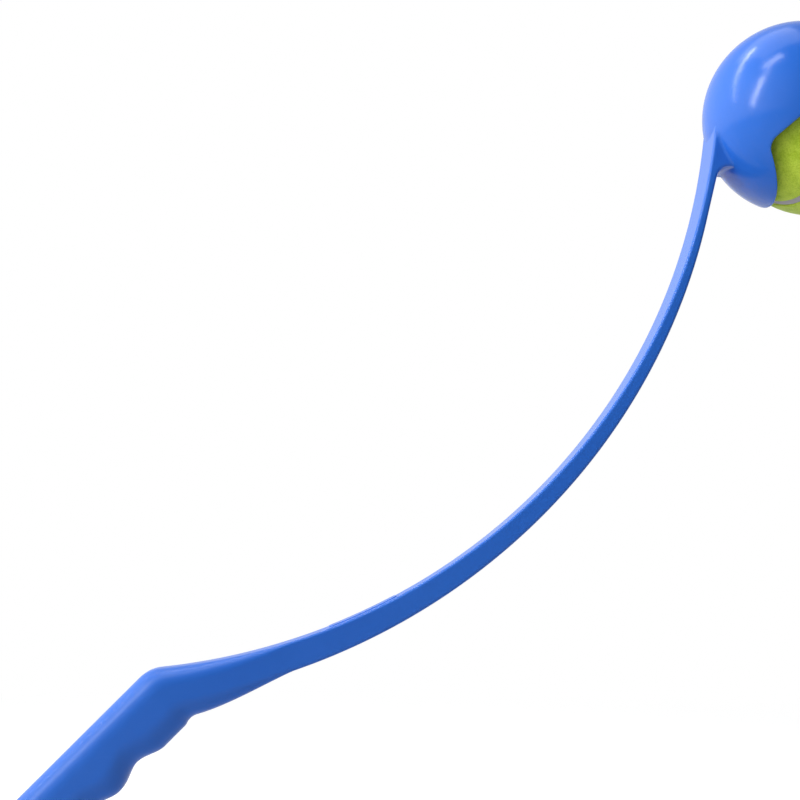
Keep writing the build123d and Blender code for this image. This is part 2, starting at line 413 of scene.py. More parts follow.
@dataclass(frozen=True)
class MouldedPlastic:
    """Injection-moulded plastic, glossy on the cup, satin on the arm and duller still on the grip.

    A faint orange-peel grain and light handling marks lie on all of it, and the pigment varies
    between tint_dark and tint_light times the tint. Each satin step holds the place along X where
    it sets in, the place where it is full, and the roughness that it adds.
    """

    name: str = "moulded blue plastic"
    tint: Tint = Tint.MOULDED_BLUE
    tint_dark: Triple = (0.9, 0.93, 0.96)
    tint_light: Triple = (1.15, 1.08, 1.04)
    roughness: float = 0.17
    roughness_swing: Pair = (-0.03, 0.05)
    satin_steps: tuple[Triple, ...] = ((0.25, 0.21, 0.09), (0.16, 0.11, 0.08))
    specular: float = 0.38
    grain_scale: float = 1500.0
    grain_softness: float = 0.35
    grain_height: float = 0.00002
    grain_strength: float = 1.0
    mark_scale: float = 420.0
    mark_amount: float = 1.0
    mark_paler: Triple = (0.06, 0.09, 0.10)
    mark_share: float = 0.12
    mark_duller: float = 0.07

    def material(self) -> bpy.types.Material:
        """Build the material.

        Returns:
            The material.
        """
        material, sheet, shader, place = start_material(self.name)
        grain = sheet.use(grain_group(), place, Scale=self.grain_scale, Softness=self.grain_softness).outputs
        wear = sheet.use(wear_group(), place, Scale=self.mark_scale, Amount=self.mark_amount)
        marks = wear.outputs["Marks"]
        tint = np.array(self.tint.value)
        colour = sheet.blend("slow variation of the pigment", grain["Mottle"],
                             tint * self.tint_dark, tint * self.tint_light)
        faint = sheet.calc("MULTIPLY", "marks barely show", marks, self.mark_share)
        scuffed = sheet.blend("marks are paler", faint, colour, tint + self.mark_paler)
        low, high = self.roughness_swing
        finish = sheet.span("gloss varies slowly", grain["Mottle"], (0.0, 1.0),
                            (self.roughness + low, self.roughness + high))
        along = sheet.add("ShaderNodeSeparateXYZ", "", {0: place}).outputs["X"]
        for start, full, extra in self.satin_steps:
            satin = sheet.span("satin from here down", along, (start, full), (0.0, extra),
                               interpolation_type="SMOOTHSTEP")
            finish = sheet.calc("ADD", "gloss and satin", finish, satin)
        dull = sheet.calc("MULTIPLY_ADD", "marks are duller", marks, self.mark_duller, finish)
        peel = sheet.relief("orange peel", grain["Height"], self.grain_height, self.grain_strength)
        sheet.fill(shader, {"Base Color": scuffed, "Roughness": dull, "Normal": peel,
                            "Specular IOR Level": self.specular})
        return material


@dataclass(frozen=True)
class BallFelt:
    """Short fuzzy felt: yellow-green with painted shade deep between the fibres, a matted nap and a soft
    sheen.
    """

    name: str = "ball felt"
    tint: Tint = Tint.FELT_YELLOW
    shade: Tint = Tint.FELT_PAINTED_SHADE
    patch_tint: Triple = (0.86, 0.9, 0.8)
    nap_scale: float = 1700.0
    nap_softness: float = 0.45
    nap_height: float = 0.00022
    nap_strength: float = 0.7
    tips: Pair = (0.34, 0.6)
    roughness: float = 0.95
    specular: float = 0.2
    sheen: float = 0.35
    sheen_roughness: float = 0.5

    def material(self) -> bpy.types.Material:
        """Build the material.

        Returns:
            The material.
        """
        material, sheet, shader, place = start_material(self.name)
        nap = sheet.use(grain_group(), place, Scale=self.nap_scale, Softness=self.nap_softness).outputs
        # painted shade: the felt turns darker where the nap is low, deep between the fibres
        depth = sheet.span("fibre tips", nap["Height"], self.tips)
        colour = sheet.blend("painted shade deep between the fibres", depth, self.shade.value, self.tint.value)
        worn = sheet.blend("slow patches", nap["Mottle"], colour, self.patch_tint, blend_type="MULTIPLY")
        matted = sheet.relief("nap", nap["Height"], self.nap_height, self.nap_strength)
        sheet.fill(shader, {"Base Color": worn, "Normal": matted, "Roughness": self.roughness,
                            "Specular IOR Level": self.specular, "Sheen Weight": self.sheen,
                            "Sheen Roughness": self.sheen_roughness})
        return material


@dataclass(frozen=True)
class BareRubber:
    """Matte rubber with a fine skin and a little dust, for the seam strip and the core."""

    name: str
    tint: Tint
    tint_dark: float = 0.85
    tint_light: float = 1.12
    roughness: float = 0.62
    grain_scale: float = 2600.0
    grain_softness: float = 0.3
    grain_height: float = 0.00004
    grain_strength: float = 0.8
    mark_scale: float = 900.0
    mark_amount: float = 0.6
    mark_duller: float = 0.2

    def material(self) -> bpy.types.Material:
        """Build the material.

        Returns:
            The material.
        """
        material, sheet, shader, place = start_material(self.name)
        grain = sheet.use(grain_group(), place, Scale=self.grain_scale, Softness=self.grain_softness).outputs
        wear = sheet.use(wear_group(), place, Scale=self.mark_scale, Amount=self.mark_amount)
        tint = np.array(self.tint.value)
        colour = sheet.blend("slow variation", grain["Mottle"], tint * self.tint_dark,
                             np.minimum(tint * self.tint_light, 1.0))
        dull = sheet.calc("MULTIPLY_ADD", "marks are duller", wear.outputs["Marks"], self.mark_duller,
                          self.roughness)
        fine = sheet.relief("skin", grain["Height"], self.grain_height, self.grain_strength)
        sheet.fill(shader, {"Base Color": colour, "Roughness": dull, "Normal": fine})
        return material


# ---------------------------------------------------------------- the launcher's moulding


@dataclass
class Moulding:
    """Sizes of the one-piece launcher and the places that follow from them."""

    grip_angle: float = 45.0
    grip_width: float = 23.0
    grip_depth: float = 22.0
    grip_corner: float = 8.5
    finger_pitch: float = 22.0
    finger_ripple: float = 1.45
    finger_grooves: int = 3
    shoulder_run: float = 10.0
    butt_run: float = 14.0
    shoulder_radius: float = 12.0
    shoulder_heading: float = 5.4
    butt_flare: float = 3.0
    butt_round: float = 7.0
    hang_hole_radius: float = 4.0
    hang_hole_inset: float = 11.0
    least_flat: float = 0.04
    arm_width: float = 18.8
    arm_radius: float = 224.7
    arm_depth_grip: float = 10.0
    arm_depth_cup: float = 3.0
    edge_radius: float = 1.1
    arm_start_angle: float = -73.0
    arm_end_angle: float = -15.0
    cup_angle: float = -4.3
    web_run: float = 20.1
    web_radius: float = 5.0
    web_blend: float = 1.4
    cup_inner: float = 33.8
    cup_outer: float = 36.0

    def __post_init__(self) -> None:
        """Work out the places that the sizes lead to, in the order in which they depend."""
        self.grip_up = heading(self.grip_angle)
        self.finger_side = heading(self.grip_angle - 90)
        self.first_ridge = self.finger_pitch * self.finger_grooves / 2
        self.last_ridge = -self.first_ridge
        self.back_start = self.first_ridge + self.shoulder_run
        self.butt_start = self.last_ridge - self.butt_run
        self.back_end = self.butt_start - self.butt_round
        low = self.grip_up * self.back_start - self.finger_side * (self.grip_depth / 2)
        self.shoulder_centre = low + self.finger_side * self.shoulder_radius
        high = self.shoulder_centre + heading(90 + self.shoulder_heading) * self.shoulder_radius
        self.arc_centre = high + heading(90 + self.shoulder_heading) * self.arm_radius
        self.cup_centre = self.arc_centre + heading(self.cup_angle) * (self.arm_radius + self.cup_inner)

    def concave(self, angle: np.ndarray) -> np.ndarray:
        """Points on the arm's concave face: the arc's centre plus the radius along the heading."""
        return self.arc_centre + heading(angle) * self.arm_radius

    def arm_depth(self, angle: np.ndarray) -> np.ndarray:
        """Depth of the arm, tapering evenly with the angle."""
        share = (angle - self.arm_start_angle) / (self.arm_end_angle - self.arm_start_angle)
        return self.arm_depth_grip + (self.arm_depth_cup - self.arm_depth_grip) * share

    def grip_depth_at(self, along: np.ndarray) -> np.ndarray:
        """Depth of the grip: a cosine ripple for the fingers, then a squared flare at the butt.

        Args:
            along: places along the grip, from its middle.

        Returns:
            Depths in millimetres.
        """
        ripple = np.where(along < self.first_ridge, -np.cos(2 * np.pi * along / self.finger_pitch), 1.0)
        flare = np.maximum(0.0, self.last_ridge - along) / (self.last_ridge - self.back_end)
        return self.grip_depth + self.finger_ripple * ripple + self.butt_flare * flare ** 2

    def hang_hole(self) -> np.ndarray:
        """Centre of the hang hole, on the middle of the butt.

        Returns:
            Its place in the plane of symmetry.
        """
        along = self.back_end + self.hang_hole_inset
        sag = (self.grip_depth_at(np.array(along)) - self.grip_depth) / 2
        return self.grip_up * along + self.finger_side * sag


@dataclass
class RingRows:
    """Rows of a swept bar: each row is a rounded rectangle square to the plane of symmetry."""

    top: np.ndarray
    toward: np.ndarray
    depth: np.ndarray
    width: np.ndarray
    corner: np.ndarray

    def join(self, other: "RingRows") -> "RingRows":
        """Rows of this bar followed by the rows of another.

        Args:
            other: the bar that goes on.

        Returns:
            Both as one.
        """
        pairs = [np.concatenate([getattr(self, key), getattr(other, key)])
                 for key in ("top", "toward", "depth", "width", "corner")]
        return RingRows(*pairs)

    def points(self, flats: int, bends: int, walls: int, least_flat: float) -> np.ndarray:
        """Work out every ring at once.

        Formula: with half depth d, half width w and corner r, the ring runs from the middle of the
        top face over a quarter circle about (r - d, w - r) to the middle of the side wall, and the
        other three quarters mirror it.

        Args:
            flats: steps across half of the top face.
            bends: steps round a corner.
            walls: steps down half of a side wall.
            least_flat: share of each side that a corner always leaves.

        Returns:
            (rows, columns, 3) places.
        """
        half_depth, half_width = self.depth / 2, self.width / 2
        corner = np.minimum(self.corner, np.minimum(half_depth, half_width) * (1 - least_flat))
        reach, side = (half_depth - corner)[:, None], (half_width - corner)[:, None]
        turn = np.linspace(0.0, np.pi / 2, bends, endpoint=False)
        step = np.linspace(0.0, 1.0, flats, endpoint=False)
        fall = np.linspace(0.0, 1.0, walls, endpoint=False)
        radius = corner[:, None]
        across = np.concatenate([
            -half_depth[:, None] + 0 * step, -reach - radius * np.cos(turn), -reach * (1 - fall)], axis=1)
        sideways = np.concatenate([
            side * step, side + radius * np.sin(turn), half_width[:, None] + 0 * fall], axis=1)
        # quarter, its mirror below, then both mirrored to the other side
        across = np.concatenate([across, 0 * half_depth[:, None], -across[:, :0:-1]], axis=1)
        sideways = np.concatenate([sideways, half_width[:, None], sideways[:, :0:-1]], axis=1)
        across = np.concatenate([across, half_depth[:, None], across[:, :0:-1]], axis=1)
        sideways = np.concatenate([sideways, 0 * half_depth[:, None], -sideways[:, :0:-1]], axis=1)
        middle = self.top + self.toward * half_depth[:, None]
        flat = middle[:, None, :] + self.toward[:, None, :] * across[:, :, None]
        flat[:, :, 1] += sideways
        return flat


@dataclass
class GripAndArm:
    """Skin of the arm and the grip, one bar swept from inside the cup's wall to the butt.

    The counts are rows along each stretch. The first rows start web_overrun millimetres past the
    fillet on the underside, and top_shortfall degrees short of the cup's angle on the concave face.
    """

    sizes: Moulding
    bury_radius: float = 34.9
    tip_margin: float = 3.5
    flats: int = 7
    bends: int = 9
    walls: int = 7
    pad_length: float = 27.0
    pad_width: float = 11.0
    pad_height: float = 0.4
    pad_angle: float = -65.5
    pad_corner: float = 2.6
    pad_border: float = 0.4
    pad_slope: float = 0.45
    pad_slope_start: float = 0.35
    pad_sink: float = 0.3
    pad_base: float = 0.6
    pad_steps: tuple[int, int] = (120, 60)
    web_count: int = 84
    bend_count: int = 24
    arm_count: int = 150
    neck_count: int = 56
    grip_count: int = 170
    butt_count: int = 16
    web_overrun: float = 6.0
    top_shortfall: float = 0.6
    neck_lean_ease: float = 1.3
    neck_depth_ease: float = 1.25
    hole_mouth: float = 1.0
    hole_mouth_turn: float = 84.0
    hole_steps: tuple[int, int] = (9, 64)
    hole_overrun: float = 0.2
    hole_flare: float = 1.9
    settle_depth: float = 0.15
    least_slope: float = 0.25
    facing_limit: float = 0.99
    joint_reach: Triple = (9.0, 4.0, 1.2)

    def web_places(self) -> dict[str, np.ndarray]:
        """Lay out the fillet under the arm's last stretch.

        The convex face runs straight on from the arm's end for web_run; there the web's underside
        leaves it at a right angle, and a fillet of web_radius fills the corner.

        Returns:
            foot, along, across, corner, centre, low and high.
        """
        s = self.sizes
        foot = s.concave(s.arm_end_angle) + heading(s.arm_end_angle) * s.arm_depth_cup
        degree_back = s.arm_end_angle - 1.0
        earlier = s.concave(degree_back) + heading(degree_back) * s.arm_depth(degree_back)
        along = unit(foot - earlier)
        across = np.array([along[2], 0.0, -along[0]])
        corner = foot + along * s.web_run
        centre = corner + (across - along) * s.web_radius
        return {"foot": foot, "along": along, "across": across, "corner": corner, "centre": centre,
                "low": centre - across * s.web_radius, "high": centre + along * s.web_radius}

    def web_distance(self, points: np.ndarray) -> np.ndarray:
        """Signed distance to the bar near the cup.

        Formula: in the XZ plane, what lies outside the concave circle and behind either the convex
        face's line or the underside's, those two joined by the fillet, as far as two planes
        through the cup's centre; pulled out to the arm's width, edges rounded.

        Args:
            points: (..., 3) places.

        Returns:
            Distance, negative inside.
        """
        s, web = self.sizes, self.web_places()
        flat = points * np.array([1.0, 0.0, 1.0])
        top = s.arm_radius - np.linalg.norm(flat - s.arc_centre, axis=-1)
        under = round_union((flat - web["corner"]) @ web["across"], -(flat - web["corner"]) @ web["along"],
                            s.web_radius)
        above = (flat - s.cup_centre) @ heading(s.cup_angle + 90)
        beyond = (flat - s.cup_centre) @ web["across"]
        profile = np.maximum(np.maximum(top, under), np.maximum(above, beyond))
        return round_overlap(profile, np.abs(points[..., 1]) - s.arm_width / 2, s.edge_radius)

    def joined_distance(self, points: np.ndarray) -> np.ndarray:
        """Signed distance to the bar and the cup's outer sphere, joined with the web's blend.

        Past the tip in which the concave face runs out, only the sphere counts.

        Args:
            points: (..., 3) places.

        Returns:
            Distance, negative inside.
        """
        s = self.sizes
        spoke = points - s.cup_centre
        ball = np.linalg.norm(spoke, axis=-1) - s.cup_outer
        web = self.web_distance(points)
        facing = (unit(slope_of(self.web_distance, points)) * unit(spoke)).sum(axis=-1)
        joined = round_union(web, ball, s.web_blend, np.clip(facing, -self.facing_limit, self.facing_limit))
        return np.where(spoke @ heading(s.cup_angle + 90) > -self.tip_margin, ball, joined)

    def settle(self, points: np.ndarray, near: np.ndarray, steps: int = 6) -> np.ndarray:
        """Move marked points onto the joined surface.

        Formula: Newton steps, each taking away the distance times its gradient over the
        gradient's squared length, with the gradient from central differences.

        Args:
            points: (..., 3) places.
            near: marks of the points to move.
            steps: number of Newton steps.

        Returns:
            The moved places.
        """
        moved = points.copy()
        chosen = moved[near]
        for _ in range(steps):
            slope = slope_of(self.joined_distance, chosen)
            length = np.maximum((slope ** 2).sum(-1), self.least_slope)
            chosen = chosen - slope * (self.joined_distance(chosen) / length)[..., None]
        moved[near] = chosen
        return moved

    def shade_joint(self, obj: bpy.types.Object) -> None:
        """Give the points near the joint the joined surface's own normals, so its two skins shade as one.

        Near is within joint_reach of the sphere, of the bar and of the joined surface.

        Args:
            obj: the bar's or the cup's skin.
        """
        mesh, s = obj.data, self.sizes
        points, normals = np.empty((2, len(mesh.vertices), 3), np.float32)
        mesh.vertices.foreach_get("co", points.ravel())
        mesh.vertices.foreach_get("normal", normals.ravel())
        points = points.astype(float) / MM
        from_ball, from_bar, from_joint = self.joint_reach
        far = np.linalg.norm(points - s.cup_centre, axis=-1) - s.cup_outer
        rows = np.nonzero((np.abs(far) < from_ball) & (np.abs(self.web_distance(points)) < from_bar))[0]
        rows = rows[np.abs(self.joined_distance(points[rows])) < from_joint]
        normals[rows] = unit(slope_of(self.joined_distance, points[rows]))
        mesh.normals_split_custom_set_from_vertices(normals)

    def web_rows(self) -> RingRows:
        """Rows from inside the cup's wall to the arm's end, each from concave face to underside.

        Returns:
            The rows.
        """
        s, web = self.sizes, self.web_places()
        steps = np.linspace(0.0, 1.0, self.bend_count)[:, None]
        turned = math.degrees(math.atan2(web["along"][2], web["along"][0]))
        bend = web["centre"] + heading(turned + 90 * steps[:, 0]) * s.web_radius
        under = np.concatenate([web["high"] + web["across"] * self.web_overrun * (1 - steps[:-1]), bend,
                                web["low"] + (web["foot"] - web["low"]) * steps[1:]])
        run = np.concatenate([[0.0], np.cumsum(np.linalg.norm(np.diff(under, axis=0), axis=1))])
        share = np.linspace(0.0, 1.0, self.web_count)
        bottom = np.stack([np.interp(share * run[-1], run, under[:, k]) for k in range(3)], axis=-1)
        top_end = s.cup_angle - self.top_shortfall
        top = s.concave(top_end + (s.arm_end_angle - top_end) * share)
        depth = np.linalg.norm(bottom - top, axis=1)
        same = np.ones(self.web_count)
        return RingRows(top, unit(bottom - top), depth, same * s.arm_width, same * s.edge_radius)

    def arm_rows(self) -> RingRows:
        """Rows along the arm's arc, square to it.

        Returns:
            The rows.
        """
        s = self.sizes
        angles = np.linspace(s.arm_end_angle, s.arm_start_angle, self.arm_count)[1:-1]
        same = np.ones(len(angles))
        return RingRows(s.concave(angles), heading(angles), s.arm_depth(angles),
                        same * s.arm_width, same * s.edge_radius)

    def neck_rows(self) -> RingRows:
        """Rows over the shoulder: along the arc, then round the shoulder, swelling into the grip.

        Returns:
            The rows.
        """
        s = self.sizes
        share = np.linspace(0.0, 1.0, self.neck_count, endpoint=False)
        arc_run = math.radians(s.arm_start_angle - (s.shoulder_heading - 90)) * s.arm_radius
        bend_run = math.radians(s.grip_angle - s.shoulder_heading) * s.shoulder_radius
        run = share * (arc_run + bend_run)
        on_arc = s.concave(s.arm_start_angle - np.degrees(run / s.arm_radius))
        turned = np.degrees((run - arc_run) / s.shoulder_radius)
        on_bend = s.shoulder_centre + heading(90 + s.shoulder_heading + turned) * s.shoulder_radius
        top = np.where((run < arc_run)[:, None], on_arc, on_bend)
        lean = s.arm_start_angle + (s.grip_angle - 90 - s.arm_start_angle) * share ** self.neck_lean_ease
        swell = s.grip_depth_at(np.array(s.back_start)) - s.arm_depth_grip
        depth = s.arm_depth_grip + swell * share ** self.neck_depth_ease
        width = s.arm_width + (s.grip_width - s.arm_width) * share
        corner = s.edge_radius + (s.grip_corner - s.edge_radius) * share
        return RingRows(top, heading(lean), depth, width, corner)

    def grip_rows(self) -> RingRows:
        """Rows down the straight grip, round the butt's edge and in to the middle of its end.

        Returns:
            The rows.
        """
        s = self.sizes
        straight = np.linspace(s.back_start, s.butt_start, self.grip_count, endpoint=False)
        turn = np.linspace(0.0, np.pi / 2, self.butt_count)
        along = np.concatenate([straight, s.butt_start - s.butt_round * np.sin(turn)])
        inset = np.concatenate([0 * straight, s.butt_round * (1 - np.cos(turn))])
        top = s.grip_up * along[:, None] - s.finger_side * (s.grip_depth / 2 - inset)[:, None]
        depth = s.grip_depth_at(along) - 2 * inset
        width = s.grip_width - 2 * inset
        across = np.broadcast_to(s.finger_side, top.shape)
        rows = RingRows(top, across, depth, width, s.grip_corner - inset / 2)
        # the flat end: the last ring drawn in to its middle
        keep = np.array([0.75, 0.5, 0.25, 0.0])
        centre = top[-1] + s.finger_side * (depth[-1] / 2)
        end = RingRows(centre - s.finger_side * (depth[-1] / 2 * keep)[:, None],
                       np.broadcast_to(s.finger_side, (len(keep), 3)), depth[-1] * keep,
                       width[-1] * keep, rows.corner[-1] * keep)
        return rows.join(end)

    def hole_cutter(self) -> bpy.types.Object:
        """Turned plug of the hang hole, its radius growing by a quarter circle at both mouths.

        Returns:
            The plug, to be cut out of the bar.
        """
        s = self.sizes
        mouth, half, narrow = self.hole_mouth, s.grip_width / 2, s.hang_hole_radius
        turn = np.linspace(0.0, math.radians(self.hole_mouth_turn), self.hole_steps[0])
        # past the surface the plug flares out wide and closes
        reach = np.concatenate([[0.0], half - mouth + mouth * np.sin(turn), [half + self.hole_overrun] * 2])
        radius = np.concatenate([[narrow], narrow + mouth * (1 - np.cos(turn)),
                                 [narrow + mouth * self.hole_flare, 0.0]])
        reach = np.concatenate([-reach[:0:-1], reach])
        radius = np.concatenate([radius[:0:-1], radius])
        around = np.linspace(0.0, 2 * np.pi, self.hole_steps[1], endpoint=False)
        centre = s.hang_hole()
        grid = np.stack([centre[0] + radius[:, None] * np.cos(around), reach[:, None] + 0 * around,
                         centre[2] + radius[:, None] * np.sin(around)], axis=-1)
        return skin("hang_hole_plug", grid, loop=True)

    def pad(self) -> bpy.types.Object:
        """Blank raised pad on the concave face.

        Formula: height times a smooth step of the inside distance to a rounded rectangle, laid on
        the arc; its border sinks below the face.

        Returns:
            The pad's object.
        """
        s = self.sizes
        half_run, half_side, border = self.pad_length / 2, self.pad_width / 2, self.pad_border
        run = np.linspace(-half_run - border, half_run + border, self.pad_steps[0])[:, None]
        side = np.linspace(-half_side - border, half_side + border, self.pad_steps[1])[None, :]
        out_run = np.abs(run) - half_run + self.pad_corner
        out_side = np.abs(side) - half_side + self.pad_corner
        outside = np.hypot(np.maximum(out_run, 0), np.maximum(out_side, 0)) - self.pad_corner
        distance = outside + np.minimum(np.maximum(out_run, out_side), 0.0)
        rise = ease(-distance / self.pad_slope + self.pad_slope_start)
        height = -self.pad_sink + (self.pad_height + self.pad_sink) * rise
        angle = self.pad_angle + np.degrees(run / s.arm_radius) + 0 * side
        top = s.arc_centre + heading(angle) * (s.arm_radius - height)[..., None]
        top[..., 1] = side + 0 * run
        floor = s.arc_centre + heading(angle) * (s.arm_radius + self.pad_base)
        floor[..., 1] = side + 0 * run
        rows, columns = top.shape[:2]
        faces = grid_faces(rows, columns, loop=False)
        both = np.concatenate([faces, faces[:, ::-1] + rows * columns])
        rim = np.concatenate([np.arange(columns), np.arange(2, rows + 1) * columns - 1,
                              (rows - 1) * columns + np.arange(columns - 2, -1, -1),
                              np.arange(rows - 2, 0, -1) * columns])
        after = np.roll(rim, -1)
        wall = np.stack([rim, rim + rows * columns, after + rows * columns, after], axis=-1)
        obj = make_mesh("arm_pad", np.concatenate([top.reshape(-1, 3), floor.reshape(-1, 3)]),
                        np.concatenate([both, wall]))
        close_up(obj)
        return obj

    def build(self) -> list[bpy.types.Object]:
        """Make the bar's skin with its hang hole, and the pad.

        Returns:
            The two objects.
        """
        s = self.sizes
        rows = self.web_rows().join(self.arm_rows()).join(self.neck_rows()).join(self.grip_rows())
        grid = rows.points(self.flats, self.bends, self.walls, s.least_flat)
        # the first ring is drawn in to its middle to close the bar inside the cup's wall
        middle = grid[0].mean(axis=0)
        close = middle + (grid[0] - middle) * np.array([0.0, 0.33, 0.66])[:, None, None]
        grid = np.concatenate([close, grid])
        spoke = grid - s.cup_centre
        far = np.linalg.norm(spoke, axis=-1, keepdims=True)
        buried = s.cup_centre + spoke / np.maximum(far, 1e-9) * self.bury_radius
        out = np.where(far < self.bury_radius, buried, grid)
        above = np.linalg.norm(out - s.cup_centre, axis=-1) - s.cup_outer
        rows_near = np.arange(len(out))[:, None] < len(close) + self.web_count
        grid = self.settle(out, (above > -self.settle_depth) & rows_near)
        body = skin("grip_and_arm", grid, loop=True)
        plug = self.hole_cutter()
        cut = body.modifiers.new("hang hole", "BOOLEAN")
        cut.operation, cut.object, cut.solver = "DIFFERENCE", plug, "EXACT"
        made = bpy.data.meshes.new_from_object(body.evaluated_get(bpy.context.evaluated_depsgraph_get()))
        body.modifiers.clear()
        body.data = made
        made.polygons.foreach_set("use_smooth", np.ones(len(made.polygons), bool))
        bpy.data.objects.remove(plug)
        self.shade_joint(body)
        return [body, self.pad()]


@dataclass
class Cup:
    """Snap-in cup: a sphere's wall between a hood and a short lower lip.

    The ball's middle lies ball_seat out from the cup's. The skin is settled onto the joined surface
    as far as settle_reach times the web's blend from the bar.
    """

    sizes: Moulding
    bar: GripAndArm
    hood_rim_angle: float = 40.0
    lip_plane_angle: float = 25.0
    lip_plane_share: float = 0.686
    notch_radius: float = 4.6
    rim_rounding: float = 0.9
    inner_rounding_share: float = 0.7
    ball_seat: float = 6.8
    settle_reach: float = 1.3
    rows: int = 130
    rim_rows: int = 8
    columns: int = 320
    least_angle: float = 0.2
    halvings: int = 40

    def __post_init__(self) -> None:
        """Directions of the two cuts, and the way out midway between their inner edges."""
        s = self.sizes
        spread = math.degrees(math.acos(self.lip_plane_share * s.cup_outer / s.cup_inner))
        self.exit_angle = (self.hood_rim_angle + self.lip_plane_angle - 180 + spread) / 2
        self.below_hood = -heading(self.hood_rim_angle + 90)
        self.before_lip = heading(self.lip_plane_angle)

    def mouth_depth(self, points: np.ndarray) -> np.ndarray:
        """How far inside the mouth points lie.

        Formula: the least distance past the two cutting planes; near their shared corner, the
        notch radius less the distance to the circle's centre there.

        Args:
            points: (..., 3) places from the cup's centre.

        Returns:
            Signed depth, positive where the cup is open.
        """
        first = points @ self.below_hood
        second = points @ self.before_lip + self.lip_plane_share * self.sizes.cup_outer
        return round_union(first, second, self.notch_radius, float(self.below_hood @ self.before_lip))

    def rim_angles(self, radius: float, around: np.ndarray) -> np.ndarray:
        """Angle from the back pole at which each meridian reaches the rim, by bisection.

        Args:
            radius: the sphere's radius.
            around: each meridian's turn.

        Returns:
            Angles in radians.
        """
        low, high = np.full_like(around, self.least_angle), np.full_like(around, math.pi)
        for _ in range(self.halvings):
            middle = (low + high) / 2
            inside = self.mouth_depth(self.spoke(middle, around) * radius) < 0
            low, high = np.where(inside, middle, low), np.where(inside, high, middle)
        return low

    def spoke(self, angle: np.ndarray, around: np.ndarray) -> np.ndarray:
        """Unit vectors: cos(angle) along the back pole plus sin(angle) round it.

        Args:
            angle: angle from the back pole.
            around: turn about it.

        Returns:
            (..., 3) directions from the cup's centre.
        """
        back = -heading(self.exit_angle)
        up = heading(self.exit_angle + 90)
        side = np.array([0.0, 1.0, 0.0])
        ring = np.cos(around)[..., None] * up + np.sin(around)[..., None] * side
        return np.cos(angle)[..., None] * back + np.sin(angle)[..., None] * ring

    def build(self) -> bpy.types.Object:
        """Make the wall: out along the outer sphere's meridians, over the rounded rim and back inside.

        Returns:
            The cup's object.
        """
        s = self.sizes
        around = np.linspace(0.0, 2 * np.pi, self.columns, endpoint=False)
        outer = self.rim_angles(s.cup_outer, around)
        inner = self.rim_angles(s.cup_inner, around)
        rim_out, rim_in = self.spoke(outer, around) * s.cup_outer, self.spoke(inner, around) * s.cup_inner
        face = unit(rim_in - rim_out)
        rounding_in = self.inner_rounding_share
        setback_out = self.rim_rounding / s.cup_outer
        setback_in = self.rim_rounding / s.cup_inner * rounding_in
        rise = np.linspace(0.0, 1.0, self.rows)[:, None]
        outside = self.spoke(rise * (outer - setback_out), around[None, :] + 0 * rise) * s.cup_outer
        inside = self.spoke(rise[::-2] * (inner - setback_in), around[None, :] + 0 * rise[::-2]) * s.cup_inner
        step = np.linspace(0.0, 1.0, self.rim_rows)[1:-1, None, None]
        first = rim_out + face * self.rim_rounding
        last = rim_in - face * self.rim_rounding * rounding_in
        over = (1 - step) ** 2 * outside[-1] + 2 * step * (1 - step) * rim_out + step ** 2 * first
        under = (1 - step) ** 2 * last + 2 * step * (1 - step) * rim_in + step ** 2 * inside[0]
        grid = np.concatenate([outside, over, first[None], last[None], under, inside]) + s.cup_centre
        near = np.zeros(grid.shape[:2], bool)
        web = self.bar.web_distance(grid[:len(outside)])
        near[:len(outside)] = (web < self.settle_reach * s.web_blend) & (web > -self.bar.settle_depth)
        wall = skin("ball_cup_wall", self.bar.settle(grid, near), loop=True)
        self.bar.shade_joint(wall)
        return wall


# ---------------------------------------------------------------- the ball


